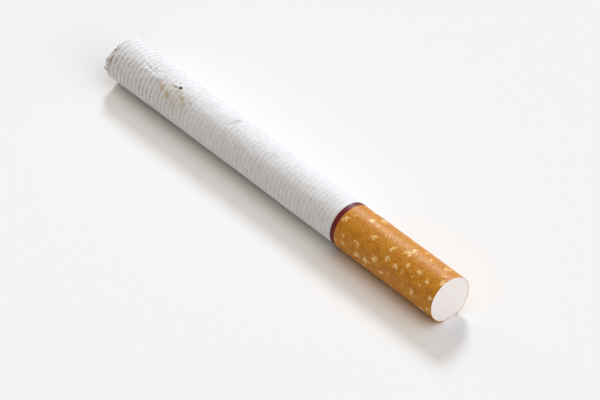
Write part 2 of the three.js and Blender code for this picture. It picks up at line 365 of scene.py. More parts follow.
# Each crease runs from one place to another (distance from the cut end in mm, angle in
# degrees), with its height and half-width in mm. A height below 0 is a furrow.
CREASES = [
    ((31.1, -8), (30.5, 26), 0.16, 0.17),
    ((30.6, 31), (29.8, 47), 0.1, 0.17),
    ((30.2, 33), (29.3, 47), -0.15, 0.17),
    ((29.6, 48), (29.2, 60), -0.06, 0.18),
    ((3.6, 26), (13.8, 36), 0.09, 0.34),
    ((7.4, 19), (10.6, 27), -0.08, 0.16),
    ((8.6, 31), (11.0, 32), -0.075, 0.15),
    ((8.0, 24), (8.4, 40), -0.06, 0.15),
    ((9.2, 4), (9.9, 8), 0.08, 0.22),
    ((10.2, 3), (10.6, 8), -0.06, 0.18),
    ((11.6, 12), (13.0, 21), -0.07, 0.15),
    ((15.0, 20), (16.5, 16), 0.2, 0.19),
    ((15.0, 27), (16.4, 22), -0.08, 0.18),
    ((54.2, 36), (53.4, 52), 0.08, 0.22),
    ((53.4, 52), (52.6, 70), 0.08, 0.24),
    ((52.6, 70), (52.3, 96), 0.06, 0.24),
    ((54.9, 44), (54.3, 62), -0.035, 0.3),
    ((34.6, 82), (36.2, 74), 0.035, 0.16),
    ((27.7, 78), (28.9, 86), -0.035, 0.14),
    ((3.2, 44), (5.2, 30), -0.03, 0.2),
    ((44.5, -152), (45.8, -118), 0.03, 0.2),
    ((22.0, -96), (23.6, -70), -0.03, 0.2),
]


def bell(t):
    return np.exp(-(t**2))


def smooth(share):
    return share * share * (3 - 2 * share)


def turn_between(a, b):
    return np.arctan2(np.sin(a - b), np.cos(a - b))


def crease_height(d, angle):
    """How far the creases lift the paper at a distance from the cut end and an angle."""
    along = d / MM
    lift = np.zeros_like(along)
    for (d0, turn0), (d1, turn1), height, width in CREASES:
        middle = math.radians((turn0 + turn1) / 2)
        round_mm = turn_between(angle, middle) * ROD_RADIUS / MM
        half = math.radians(turn1 - turn0) / 2 * ROD_RADIUS / MM
        line = np.array([d1 - d0, 2 * half])
        from_start = np.stack([along - d0, round_mm + half])
        share = np.clip((line @ from_start.reshape(2, -1)) / (line @ line), 0, 1)
        share = share.reshape(along.shape)
        apart = np.hypot(from_start[0] - share * line[0], from_start[1] - share * line[1])
        ends_low = np.sin(np.pi * np.clip(share, 0.12, 0.88))
        lift += height * bell(apart / width) * ends_low
    return lift * MM


def lumps(x, angle, size, seed):
    """Smooth unevenness between -1 and 1, sampled on the rod's surface."""
    arc = ROD_RADIUS / MM
    values = []
    for along, a in zip(x.ravel() / MM, angle.ravel()):
        place = Vector((along / size[0] + seed, 0, 0))
        place.y = math.sin(a) * arc / size[1]
        place.z = math.cos(a) * arc / size[1]
        values.append(noise.noise(place))
    return np.array(values).reshape(x.shape)


def crumpled(x, angle):
    """Sharp little folds where the paper was pinched, fading out round that place."""
    d = (x - cut_end) / MM
    near = bell((d - CRUMPLE_AT[0]) / CRUMPLE_REACH[0])
    off = turn_between(angle, math.radians(CRUMPLE_AT[1]))
    near = near * bell(off / math.radians(CRUMPLE_REACH[1]))
    folds = 0.35 - np.abs(lumps(x, angle, (1.5, 1.0), 61))
    folds += 0.5 * (0.3 - np.abs(lumps(x, angle, (0.7, 0.6), 67)))
    return CRUMPLE_HEIGHT * near * folds


def rod_radius(x, angle):
    """The radius over the cigarette paper's first layer, before the rod is laid down."""
    d = x - cut_end
    radius = np.full_like(d, ROD_RADIUS)
    for at, reach, height in SWELLS:
        radius += height * MM * bell((d / MM - at) / reach)
    radius += OVAL_AMOUNT * bell(d / OVAL_REACH) * np.cos(2 * (angle - OVAL_ANGLE))
    off = turn_between(angle, DENT_ANGLE)
    past = d - DENT_AT + DENT_LEAN * off * ROD_RADIUS
    slope = np.minimum(1 + past / DENT_RUN, 1 - past / DENT_STEP)
    deep = DENT_DEPTH * np.clip(slope, 0, 1)
    facing = np.where(np.abs(off) < 1, np.cos(off), 1)
    pressed = (ROD_RADIUS - deep) / facing
    in_dent = (deep > 0) & (np.abs(off) < 1)
    radius = np.where(in_dent, np.minimum(radius, pressed), radius)
    bare = np.clip((tipping_start - x) / SETTLE_LENGTH, 0, 1)
    radius += bare * LUMP_HEIGHT * lumps(x, angle, LUMP_SIZE, 3)
    radius += 0.35 * bare * LUMP_HEIGHT * lumps(x, angle, LUMP_SIZE / 2.7, 9)
    return radius + crease_height(d, angle) + crumpled(x, angle)


print(len(CREASES), "creases and", len(SWELLS), "swellings")

# %% [markdown]
# Laying the rod down
#
# The rod rests on the lowest part of each layer. Where a layer would reach below its own
# level above the floor, it is pressed flat there, which gives the soft roll's flat spot.


# %% Flat spot and places on the rod
def pressed_flat(radius, angle, level):
    """The radius, limited so that nothing comes below a level above the floor."""
    down = -np.cos(angle)
    limit = np.where(down > 0.1, (axis_height - level) / np.maximum(down, 0.1), np.inf)
    return np.minimum(radius, limit)


def layer_level(x):
    """How high the rod's flat lies: on the floor, but above the tipping paper under it."""
    share = np.clip((x - (tipping_start - SETTLE_LENGTH)) / SETTLE_LENGTH, 0, 1)
    return smooth(share) * (LAYER_GAP + TIPPING_THICKNESS)


def to_places(x, radius, angle):
    y = -radius * np.sin(angle)
    z = axis_height + radius * np.cos(angle)
    return np.stack([x, y, z], axis=-1)


def from_places(co):
    """The opposite of to_places: x, distance from the axis and angle of each point."""
    y, up = co[:, 1], co[:, 2] - axis_height
    return co[:, 0], np.hypot(y, up), np.arctan2(-y, up)


def read_places(piece):
    co = np.empty(len(piece.data.vertices) * 3)
    piece.data.vertices.foreach_get("co", co)
    return co.reshape(-1, 3)


def write_places(piece, co):
    piece.data.vertices.foreach_set("co", np.asarray(co, float).ravel())
    piece.data.update()


print("the flat spot is", FLAT_WIDTH / MM, "mm wide")

# %% [markdown]
# Rolling a sheet
#
# A flat grid is added, stood on edge and tilted very little. A Simple Deform modifier set to
# Bend rolls it round the X axis: the tilt turns the circle into a spiral, so the end of the
# sheet comes to lie over its start, as the glued lap does. The grid keeps its UV map, and
# that is where the print goes. Before it is bent, faces can be picked by their place on the
# flat sheet and cut finer, so that small damage gets a fine mesh and the rest stays light.


# %% Roll a sheet
def select_faces(piece, wanted):
    mesh = piece.data
    mesh.vertices.foreach_set("select", np.zeros(len(mesh.vertices), bool))
    mesh.edges.foreach_set("select", np.zeros(len(mesh.edges), bool))
    mesh.polygons.foreach_set("select", np.asarray(wanted, bool))


def face_middles(piece):
    middles = np.empty(len(piece.data.polygons) * 3)
    piece.data.polygons.foreach_get("center", middles)
    return middles.reshape(-1, 3)


def select_only(piece):
    bpy.ops.object.select_all(action="DESELECT")
    piece.select_set(True)
    bpy.context.view_layer.objects.active = piece


def edit_faces(piece, wanted, operation, **options):
    """Selects faces in code and runs one edit-mode operator on them."""
    select_only(piece)
    select_faces(piece, wanted)
    bpy.context.tool_settings.mesh_select_mode = (False, False, True)
    bpy.ops.object.mode_set(mode="EDIT")
    operation(**options)
    bpy.ops.object.mode_set(mode="OBJECT")


def settle(piece, location=(0, 0, 0), rotation=(0, 0, 0), scale=(1, 1, 1)):
    """Moves a piece and keeps the move in its mesh, so that its object stays at the origin."""
    piece.location = location
    piece.rotation_euler = rotation
    piece.scale = scale
    select_only(piece)
    bpy.ops.object.transform_apply(location=True, rotation=True, scale=True)


def change_shape(piece, kind, **settings):
    """Gives a piece a modifier with these settings, and applies it."""
    modifier = piece.modifiers.new(kind.lower(), kind)
    for name, value in settings.items():
        setattr(modifier, name, value)
    select_only(piece)
    bpy.ops.object.modifier_apply(modifier=modifier.name)


def deform(piece, method, axis, angle):
    settings = {"deform_method": method, "deform_axis": axis, "angle": angle}
    change_shape(piece, "SIMPLE_DEFORM", **settings)


class Sheet:
    """The sizes of one rolled paper: where it starts and ends, how far round it runs."""

    def __init__(self, start_x, end_x, seam, thickness, radius):
        self.start_x = start_x
        self.end_x = end_x
        self.seam = seam
        self.thickness = thickness
        self.turn = 2 * math.pi + LAP_WIDTH / radius
        self.growth = (thickness + GLUE_GAP) / (2 * math.pi)
        self.radius = radius + self.growth * self.turn / 2
        self.length = end_x - start_x
        self.width = self.turn * self.radius
        self.size = (self.length, self.width)

    def flat_place(self, d, angle):
        """Where a place on the rod lies on the flat sheet, before it is stood up."""
        ahead = (math.radians(angle) - self.seam) % (2 * math.pi)
        along = cut_end + d * MM - (self.start_x + self.end_x) / 2
        return along, (self.turn / 2 - ahead) * self.radius


def flat_grid(name, size, steps):
    """A flat grid of a length and a width, with so many faces along and across."""
    cells = {"x_subdivisions": steps[0], "y_subdivisions": steps[1]}
    piece = start_piece(name, bpy.ops.mesh.primitive_grid_add, size=1, **cells)
    settle(piece, scale=(*size, 1))
    return piece


def faces_near(piece, place, reach):
    """Picks the faces of a flat sheet whose middles lie close to a place."""
    off = face_middles(piece)[:, :2] - np.array(place)
    return np.hypot(off[:, 0], off[:, 1]) < reach


def cut_finer(piece, place, reach):
    wanted = faces_near(piece, place, reach)
    edit_faces(piece, wanted, bpy.ops.mesh.subdivide, number_cuts=1)


def roll_up(piece, sheet):
    """Bends the sheet into its spiral, and returns how far each vertex has turned."""
    tilt = math.atan(sheet.growth / sheet.radius)
    settle(piece, rotation=(math.pi / 2 - tilt, 0, 0))
    turned = sheet.turn / 2 - read_places(piece)[:, 2] / sheet.radius
    deform(piece, "BEND", "X", sheet.turn)
    settle(piece, location=(0, -sheet.radius, 0))
    settle(piece, rotation=(sheet.seam - (math.pi / 2 - sheet.turn / 2), 0, 0))
    middle = (sheet.start_x + sheet.end_x) / 2
    settle(piece, location=(middle, 0, axis_height))
    return turned


def ride_over(turned, thickness):
    """The lift where a sheet has come round to its own start and lies over it."""
    share = np.clip((turned - (2 * math.pi - LAP_RAMP)) / LAP_RAMP, 0, 1)
    return smooth(share) * (thickness + GLUE_GAP)


def lap_lift(angle, seam, thickness):
    """The lift that a lap below gives to the layer over it."""
    past = (angle - seam + LAP_RAMP) % (2 * math.pi)
    width = LAP_WIDTH / ROD_RADIUS
    rise = np.clip(past / LAP_RAMP, 0, 1)
    fall = np.clip((width + 2 * LAP_RAMP - past) / LAP_RAMP, 0, 1)
    return np.minimum(rise, fall) * (thickness + GLUE_GAP)


def press_sheet(piece, sheet, turned, shape):
    """Lays a rolled sheet on the shape under it, and gives it its thickness."""
    angle = sheet.seam + turned
    x, radius = shape(read_places(piece)[:, 0], angle)
    radius += ride_over(turned, sheet.thickness)
    write_places(piece, to_places(x, radius, angle))
    change_shape(piece, "SOLIDIFY", thickness=sheet.thickness, offset=-1)
    bpy.ops.object.shade_smooth_by_angle(angle=SMOOTH_ANGLE)


def triangles(piece):
    return sum(len(face.vertices) - 2 for face in piece.data.polygons)


print("sheets can be rolled")

# %% [markdown]
# The cigarette paper
#
# It is a single thin sheet with a grid fine enough to show lumps and creases. The mesh is
# cut finer round the puncture and over the creases. The hole is made on the flat sheet, by
# deleting faces, and its edge is then drawn to a torn ring. After rolling, the shape
# function presses the sheet onto the tobacco, and the cut end gets its torn line.

# %% Tears and puncture
TEARS = [
    (100, 17, -0.4),
    (68, 8, -0.2),
    (34, 12, 0.52),
    (6, 13, 0.16),
    (142, 18, 0.3),
    (-70, 22, -0.25),
    (-125, 14, 0.3),
]  # angle and spread in degrees, reach towards the filter in mm
TEAR_DEPTH = 2.2 * MM
TEAR_RAGGED = 0.16 * MM
FLARE = 0.12 * MM
FLARE_REACH = 0.7 * MM
FLAP_ANGLE = math.radians(68)
FLAP_SPREAD = math.radians(9)
FLAP_LIFT = 0.3 * MM
FLAP_REACH = 0.45 * MM
HOLE_AT = 16.8
HOLE_ANGLE = 17
HOLE_RADIUS = 0.22 * MM
HOLE_LIP = 0.19 * MM


def tear_line(angle):
    """The cut edge's distance from the mean cut, towards the filter where it is above 0."""
    back = np.zeros_like(angle)
    for middle, spread, reach in TEARS:
        off = turn_between(angle, math.radians(middle))
        back += reach * MM * bell(off / math.radians(spread))
    return back


def pull_hole_round(piece, place):
    """Draws the edge of the hole in a flat sheet to a torn ring, and its neighbours after it."""
    co = read_places(piece)
    off = co[:, :2] - np.array(place)
    apart = np.hypot(off[:, 0], off[:, 1])
    around = np.arctan2(off[:, 1], off[:, 0])
    torn = HOLE_RADIUS * (1 + 0.16 * np.sin(3 * around + 1) + 0.1 * np.sin(7 * around))
    reach = 3 * HOLE_RADIUS
    near = (apart < reach) & (apart > 0)
    share = np.clip((apart - HOLE_RADIUS * 0.9) / (reach - HOLE_RADIUS * 0.9), 0, 1)
    wanted = torn + (reach - torn) * share
    grow = np.where(near, wanted / np.maximum(apart, 1e-9), 1)
    co[:, :2] = np.array(place) + off * grow[:, None]
    write_places(piece, co)


def off_hole(d, angle):
    """How far a place lies from the puncture, in mm: along the rod and round it."""
    round_mm = turn_between(angle, math.radians(HOLE_ANGLE)) * ROD_RADIUS / MM
    return d / MM - HOLE_AT, round_mm


def hole_lip(d, angle):
    """The rim that was pushed up round the puncture, highest towards the cut end."""
    along, round_mm = off_hole(d, angle)
    apart = np.hypot(along, round_mm)
    side = 0.55 - 0.45 * along / np.maximum(apart, 1e-6)
    return HOLE_LIP * bell((apart - 0.33) / 0.22) * side


# %% Roll the cigarette paper
PAPER_STEPS = (285, 124)
CREASED = [((30.2, 18), 2.8), ((9.4, 26), 4.3), ((15.4, 21), 1.6), ((53.3, 60), 2.2)]
paper_sheet = Sheet(
    cut_end, joint_x - BUTT_GAP / 2, PAPER_SEAM, PAPER_THICKNESS, ROD_RADIUS
)
paper_tube = flat_grid("paper_tube", paper_sheet.size, PAPER_STEPS)
hole_place = paper_sheet.flat_place(HOLE_AT, HOLE_ANGLE)
for place, reach in CREASED:
    cut_finer(paper_tube, paper_sheet.flat_place(*place), reach * MM)
cut_finer(paper_tube, hole_place, 1.3 * MM)
cut_finer(paper_tube, hole_place, 0.7 * MM)
hole_faces = faces_near(paper_tube, hole_place, HOLE_RADIUS * 0.9)
edit_faces(paper_tube, hole_faces, bpy.ops.mesh.delete, type="FACE")
pull_hole_round(paper_tube, hole_place)
paper_turned = roll_up(paper_tube, paper_sheet)
print("rolled", len(paper_tube.data.vertices), "vertices of paper")


# %% Press the paper onto the tobacco and tear its end
def paper_shape(x, angle):
    d = x - cut_end
    radius = rod_radius(x, angle) + hole_lip(d, angle)
    edge = np.clip(1 - d / TEAR_DEPTH, 0, 1) ** 2
    ragged = lumps(x * 0, angle, (1, 0.55), 21)
    ragged += 0.5 * lumps(x * 0, angle, (1, 0.22), 27)
    x = x + edge * (tear_line(angle) + TEAR_RAGGED * ragged)
    flare = lumps(x, angle, (0.9, 1.3), 33)
    flare += 0.5 * lumps(x, angle, (0.5, 0.5), 38)
    radius += FLARE * np.exp(-np.maximum(d, 0) / FLARE_REACH) * flare
    bent_out = bell(turn_between(angle, FLAP_ANGLE) / FLAP_SPREAD)
    radius += FLAP_LIFT * bent_out * np.exp(-np.maximum(d, 0) / FLAP_REACH)
    return x, pressed_flat(radius, angle, layer_level(x))


press_sheet(paper_tube, paper_sheet, paper_turned, paper_shape)
print("cigarette paper:", triangles(paper_tube), "triangles")

# %% [markdown]
# The filter: plug, plug wrap and tipping paper
#
# The plug is a bundle of crimped white fibre, cut square. A cylinder is the start: its
# front face is inset ring by ring, so that the face has points to move, and the cut is
# then made slightly uneven and drawn in at the rim. The two papers are rolled as before.
# The tipping paper lies on what is under it, and the laps below lift it a little.


# %% Plug of fibre
def middle_of_cap(piece, end_x):
    """Picks the one face of a bar's end that has its middle on the axis."""
    x, out, _ = from_places(face_middles(piece))
    return (np.abs(x - end_x) < 0.001 * MM) & (out < 0.01 * MM)


def fill_cap(piece, end_x, rings):
    """Insets the flat cap at one end ring by ring and closes its middle with a fan."""
    step = {"thickness": ROD_RADIUS / (rings + 1), "depth": 0}
    for _ in range(rings):
        edit_faces(piece, middle_of_cap(piece, end_x), bpy.ops.mesh.inset, **step)
    edit_faces(piece, middle_of_cap(piece, end_x), bpy.ops.mesh.poke)


def round_bar(name, start_x, end_x, radius, sides, steps):
    """A cylinder along X, cut into rings along its length."""
    size = {"vertices": sides, "radius": radius, "depth": end_x - start_x}
    piece = start_piece(name, bpy.ops.mesh.primitive_cylinder_add, **size)
    middle = ((start_x + end_x) / 2, 0, axis_height)
    settle(piece, location=middle, rotation=(0, math.pi / 2, 0))
    for step in range(1, steps):
        at = start_x + (end_x - start_x) * step / steps
        plane = {"plane_co": (at, 0, axis_height), "plane_no": (1, 0, 0)}
        everything = np.ones(len(piece.data.polygons), bool)
        edit_faces(piece, everything, bpy.ops.mesh.bisect, **plane)
    return piece


def face_grain(co, size, seed):
    """Noise between -1 and 1 at each point's place across the rod."""
    values = [noise.noise(Vector((y, z, seed)) / MM / size) for _, y, z in co]
    return np.array(values)


PLUG_SIDES = 128
PLUG_STEPS = 12
PLUG_RINGS = 18
PLUG_UNEVEN = 0.02 * MM
PLUG_DRAWN_IN = 0.06 * MM

plug_start = joint_x + BUTT_GAP / 2
plug_radius = ROD_RADIUS - PAPER_THICKNESS - LAYER_GAP
filter_tow = round_bar(
    "filter_tow", plug_start, filter_end, plug_radius, PLUG_SIDES, PLUG_STEPS
)
fill_cap(filter_tow, filter_end, PLUG_RINGS)


def shape_plug():
    co = read_places(filter_tow)
    x, out, angle = from_places(co)
    level = layer_level(x) + PAPER_THICKNESS + LAYER_GAP
    share = out / plug_radius
    radius = np.where(share > 0.02, pressed_flat(out, angle, level), out)
    front = x > filter_end - 0.01 * MM
    uneven = 0.5 * face_grain(co, 0.35, 5) + face_grain(co, 1.6, 8) + 1
    back = PLUG_UNEVEN * uneven + PLUG_DRAWN_IN * share**10
    x = np.where(front, x - back, x)
    write_places(filter_tow, to_places(x, radius, angle))


shape_plug()
select_only(filter_tow)
bpy.ops.object.shade_smooth_by_angle(angle=SMOOTH_ANGLE)
print("filter plug:", triangles(filter_tow), "triangles")

# %% Plug wrap
WRAP_STEPS = (24, 150)
wrap_sheet = Sheet(plug_start, filter_end, PLUG_WRAP_SEAM, PAPER_THICKNESS, ROD_RADIUS)
plug_wrap = flat_grid("plug_wrap_paper", wrap_sheet.size, WRAP_STEPS)
wrap_turned = roll_up(plug_wrap, wrap_sheet)


def wrap_shape(x, angle):
    return x, pressed_flat(np.full_like(x, ROD_RADIUS), angle, layer_level(x))


press_sheet(plug_wrap, wrap_sheet, wrap_turned, wrap_shape)
print("plug wrap:", triangles(plug_wrap), "triangles")

# %% Tipping paper
TIPPING_STEPS = (150, 160)
TIPPING_LUMP = 0.012 * MM
JOINT_BLEND = 0.6 * MM
tipping_sheet = Sheet(
    tipping_start, filter_end, TIPPING_SEAM, TIPPING_THICKNESS, tipping_radius
)
tipping_tube = flat_grid("tipping_tube", tipping_sheet.size, TIPPING_STEPS)
tipping_turned = roll_up(tipping_tube, tipping_sheet)


def tipping_shape(x, angle):
    over_rod = rod_radius(x, angle) + lap_lift(angle, PAPER_SEAM, PAPER_THICKNESS)
    over_plug = ROD_RADIUS + lap_lift(angle, PLUG_WRAP_SEAM, PAPER_THICKNESS)
    share = np.clip((x - joint_x) / JOINT_BLEND + 0.5, 0, 1)
    under = over_rod * (1 - share) + over_plug * share
    radius = under + LAYER_GAP + TIPPING_THICKNESS
    bulge = np.maximum(lumps(x, angle, (2.5, 1.6), 51), -0.2)
    radius += TIPPING_LUMP * bulge * np.clip((filter_end - x) / MM, 0, 1)
    return x, pressed_flat(radius, angle, 0)


press_sheet(tipping_tube, tipping_sheet, tipping_turned, tipping_shape)
print("tipping paper:", triangles(tipping_tube), "triangles")

# %% [markdown]
# Tobacco
#
# Inside the paper lies a bed of pressed shreds. Nothing shows but its face and what the
# puncture opens, so it is one bar with the rod's own shape. The loose shreds of the cut end
# are ribbons of leaf. Three ribbons are modelled, each a folded strip that a Simple Deform
# modifier twists, and several hundred copies are placed by seeded chance, pressed into the
# tube and joined into one piece. Each copy keeps its own tone in an attribute.

# %% Bed of pressed tobacco
BED_SIDES = 96
BED_STEPS = 110
BED_RINGS = 20
BED_ROUGH = 0.35 * MM
BED_GAP = 0.02 * MM
HOLLOW_DEPTH = 0.5 * MM
HOLLOW_REACH = 0.45

# The bed's mesh is coarser than the paper's. So that it stays under the dent and the crumple,
# it takes the lowest radius within a short reach, and lies deeper round those two places.
BED_REACH = 0.3 * MM
BED_CLEARANCE = 0.1 * MM
CLEARANCE_FADE = 7 * MM

bed_radius = ROD_RADIUS - PAPER_THICKNESS - LAYER_GAP
tobacco_bed = round_bar(
    "tobacco_bed", bed_face, joint_x - BUTT_GAP / 2, bed_radius, BED_SIDES, BED_STEPS
)
fill_cap(tobacco_bed, bed_face, BED_RINGS)


def shape_bed():
    co = read_places(tobacco_bed)
    x, out, angle = from_places(co)
    shifts = (-BED_REACH, 0, BED_REACH)
    lowest = np.min([rod_radius(x + shift, angle) for shift in shifts], axis=0)
    inset = PAPER_THICKNESS + LAYER_GAP + BED_GAP
    for at in (DENT_AT, CRUMPLE_AT[0] * MM):
        inset = inset + BED_CLEARANCE * bell((x - cut_end - at) / CLEARANCE_FADE)
    outer = pressed_flat(lowest, angle, layer_level(x)) - inset
    radius = outer * np.minimum(out / bed_radius, 1)
    from_hole = np.hypot(*off_hole(x - cut_end, angle))
    under_hole = bell(from_hole / HOLLOW_REACH) * (out > 0.5 * bed_radius)
    radius -= HOLLOW_DEPTH * under_hole
    on_face = (x < bed_face + 0.01 * MM) & (out < 0.97 * bed_radius)
    x = np.where(on_face, x + BED_ROUGH * (face_grain(co, 0.5, 2) + 0.6), x)
    write_places(tobacco_bed, to_places(x, radius, angle))


shape_bed()
print("tobacco bed:", triangles(tobacco_bed), "triangles")

# %% Three ribbons of cut leaf
RIBBON_STEPS = 8
RIBBON_LENGTH = 4.2 * MM
RIBBON_WIDTH = 0.72 * MM
RIBBON_THICKNESS = 0.09 * MM
RIBBON_BEND = math.radians(60)
RIBBON_FOLDS = [(35, 120), (60, -200), (20, 260)]  # fold and twist, degrees


def ribbon(number, fold, twist):
    """A strip of leaf along X, folded along its middle, twisted and a little bent."""
    size = (RIBBON_LENGTH, RIBBON_WIDTH)
    piece = flat_grid(f"ribbon_{number}", size, (RIBBON_STEPS, 2))
    co = read_places(piece)
    half = RIBBON_WIDTH / 2
    side = co[:, 1] / half
    ripple = 1 + 0.18 * np.sin(co[:, 0] / MM * 3.1 + number)
    co[:, 1] = side * half * math.cos(math.radians(fold)) * ripple
    co[:, 2] = np.abs(side) * half * math.sin(math.radians(fold))
    write_places(piece, co)
    deform(piece, "TWIST", "X", math.radians(twist))
    deform(piece, "BEND", "Z", RIBBON_BEND)
    change_shape(piece, "SOLIDIFY", thickness=RIBBON_THICKNESS, offset=0)
    return piece


ribbons = [ribbon(n, *sizes) for n, sizes in enumerate(RIBBON_FOLDS)]
print("each ribbon has", triangles(ribbons[0]), "triangles")

# %% Fill the open end with shreds
SHRED_COUNT = 330
SHRED_SEED = 7
SHRED_STRETCH = ((0.6, 1.25), (0.65, 1.2), (0.8, 1.2))  # range along, across and up
SHRED_TILT = 0.55
SHRED_PROUD = 0.28 * MM
SHRED_DEEPEST = 3.0 * MM
SHRED_SMOOTH_ANGLE = math.radians(40)
FREE_SHARE = 0.8  # the share of the tube's radius in which shreds lie as they fell
PRESSED_SHARE = 0.2
mouth_radius = ROD_RADIUS - PAPER_THICKNESS - 0.06 * MM

# Middle angle and spread in degrees, distance from the cut end and width in mm, leaf tone.
RIM_SHREDS = [
    (39, 15, 0.3, 0.5, 0.35),
    (27, 8, 0.26, 0.4, 0.95),
    (55, 16, 0.0, 0.35, 0.7),
    (106, 15, -0.66, 0.6, -0.25),
    (102, 13, -0.85, 0.5, 1.0),
    (115, 10, -0.3, 0.4, 0.6),
    (92, 10, -0.32, 0.4, 0.9),
    (84, 12, -0.05, 0.4, 0.5),
    (8, 12, 0.22, 0.3, 0.8),
    (128, 18, 0.0, 0.4, 0.3),
    (150, 20, 0.1, 0.5, 0.6),
    (-40, 24, 0.0, 0.4, 0.4),
    (-95, 20, 0.05, 0.45, 0.7),
    (-128, 22, 0.1, 0.5, 0.2),
]


def turned_by(rows, angles):
    """Rotates rows of points by three Euler angles."""
    for axis, angle in enumerate(angles):
        a, b = [n for n in range(3) if n != axis]
        c, s = math.cos(angle), math.sin(angle)
        turned = rows.copy()
        turned[:, a] = c * rows[:, a] - s * rows[:, b]
        turned[:, b] = s * rows[:, a] + c * rows[:, b]
        rows = turned
    return rows


def press_into_tube(co):
    """Keeps a shred inside the paper, and no further out than the longest shreds stand."""
    x = co[:, 0]
    out = np.hypot(co[:, 1], co[:, 2])
    angle = np.arctan2(-co[:, 1], co[:, 2])
    d = x - cut_end
    oval = OVAL_AMOUNT * bell(d / OVAL_REACH) * np.cos(2 * (angle - OVAL_ANGLE))
    limit = pressed_flat(mouth_radius + oval, angle, PAPER_THICKNESS + 0.02 * MM)
    over = np.maximum(out - FREE_SHARE * limit, 0)
    room = PRESSED_SHARE * limit
    pressed = FREE_SHARE * limit + room * np.tanh(over / room)
    radius = np.where(over > 0, pressed, out)
    front = cut_end - SHRED_PROUD
    x = np.maximum(x, front + 0.15 * (x - front) * (x < front))
    return to_places(x, radius, angle)


def copy_ribbon(name, n):
    """A copy of one of the ribbons with a mesh of its own, and the copy's points."""
    model = ribbons[n % len(ribbons)]
    copy = bpy.data.objects.new(f"{name}_{n}", model.data.copy())
    bpy.context.scene.collection.objects.link(copy)
    return copy, read_places(copy)


def place_ribbon(copy, rows, leaf_tone):
    """Moves the copy's points to their places and gives them all one tone of leaf."""
    write_places(copy, rows)
    tone = copy.data.attributes.new("leaf_tone", "FLOAT", "POINT")
    tone.data.foreach_set("value", np.full(len(rows), leaf_tone, np.float32))
    return copy


def scatter_shreds():
    dice = random.Random(SHRED_SEED)
    made = []
    for n in range(SHRED_COUNT):
        copy, rows = copy_ribbon("shred", n)
        rows = rows * np.array([dice.uniform(*ends) for ends in SHRED_STRETCH])
        tip = dice.gauss(0, SHRED_TILT)
        angles = (dice.uniform(0, 6.28), tip, dice.gauss(0, SHRED_TILT))
        rows = turned_by(rows, angles)
        radius = mouth_radius * math.sqrt(dice.random()) * 0.97
        angle = dice.uniform(0, 2 * math.pi)
        front = cut_end + dice.uniform(-0.6, 1) * SHRED_PROUD
        deep = dice.random() ** 1.3 * SHRED_DEEPEST
        rows[:, 0] += front + deep - rows[:, 0].min()
        rows[:, 1] += -radius * math.sin(angle)
        rows[:, 2] += radius * math.cos(angle)
        made.append(place_ribbon(copy, press_into_tube(rows), dice.random()))
    return made


def rim_shreds():
    """The shreds that show at the torn edge: ribbons laid round the inside of the rim."""
    made = []
    for n, (angle, spread, d, width, leaf_tone) in enumerate(RIM_SHREDS):
        copy, rows = copy_ribbon("rim_shred", n)
        rows -= (rows.min(axis=0) + rows.max(axis=0)) / 2
        rows /= np.ptp(rows, axis=0)
        around = math.radians(angle) + rows[:, 0] * math.radians(spread)
        x = cut_end + (d + rows[:, 1] * width + 0.1 * rows[:, 0]) * MM
        radius = mouth_radius - (0.12 - 0.22 * rows[:, 2]) * MM
        made.append(place_ribbon(copy, to_places(x, radius, around), leaf_tone))
    return made


def join_pieces(pieces, name):
    bpy.ops.object.select_all(action="DESELECT")
    for piece in pieces:
        piece.select_set(True)
    bpy.context.view_layer.objects.active = pieces[0]
    bpy.ops.object.join()
    joined = bpy.context.active_object
    joined.name = name
    return joined


loose_shreds = join_pieces(scatter_shreds() + rim_shreds(), "loose_shreds")
bpy.ops.object.shade_smooth_by_angle(angle=SHRED_SMOOTH_ANGLE)
for model in ribbons:
    bpy.data.objects.remove(model)
print("loose shreds:", triangles(loose_shreds), "triangles")

# %% [markdown]
# Finish of the cigarette paper
#
# Such paper is made with fine rings a millimetre apart, thinner lines in which the
# tobacco shows through as grey. Under them lies a cloud of fibre. Handling has left a few
# yellow-brown stains near the puncture, and the torn edge is tinted by the tobacco. Each of
# these is a node group that reads the sheet's own UV map, scaled to millimetres.


# %% Node groups of the papers
def sheet_place(tree, sheet):
    """The place on a sheet in millimetres: along it, and round it from its outer edge."""
    uv = add_node(tree, "ShaderNodeTexCoord").outputs["UV"]
    size = (sheet.length / MM, sheet.width / MM, 1)
    return stretched(tree, uv, size)


def split(tree, vector):
    return add_node(tree, "ShaderNodeSeparateXYZ", {0: vector}).outputs


def pushed_about(tree, place, scale, reach):
    """A place on a sheet, moved by noise by up to half of reach in each direction."""
    sockets = {"Vector": place, "Scale": scale, "Detail": 3}
    push = add_node(tree, "ShaderNodeTexNoise", sockets).outputs["Color"]
    centred = combine(tree, "SUBTRACT", push, (0.5, 0.5, 0.5))
    return combine(tree, "ADD", place, stretched(tree, centred, (reach, reach, 0)))


def make_laid_lines():
    """Thin wavering rings across a sheet; the mask is 1 in the middle of a line."""
    group, given, result = new_group(
        "laid lines",
        {
            "Place": ("Vector", None),
            "Pitch": ("Float", 1.0),
            "Half Width": ("Float", 0.17),
            "Waver": ("Float", 0.1),
        },
        {"Mask": "Float"},
    )
    along = split(group, given["Place"])[0]
    sway = grain(group, stretched(group, given["Place"], (0.35, 0.5, 1)), 1.0, 2)
    shifted = calculate(group, "ADD", along, multiply(group, given["Waver"], sway, 4.0))
    half_pitch = multiply(group, given["Pitch"], 0.5)
    phase = calculate(group, "PINGPONG", shifted, half_pitch)
    edge = multiply(group, given["Half Width"], 2.0)
    line = fade(group, phase, 0.0, edge, 1.0, 0.0)
    thick = grain(group, stretched(group, given["Place"], (1.3, 0.9, 1)), 1.0, 3, 0.7)
    mask = multiply(group, line, fade(group, thick, 0.34, 0.6, 0.08, 1.0))
    group.links.new(mask, result["Mask"])
    return group


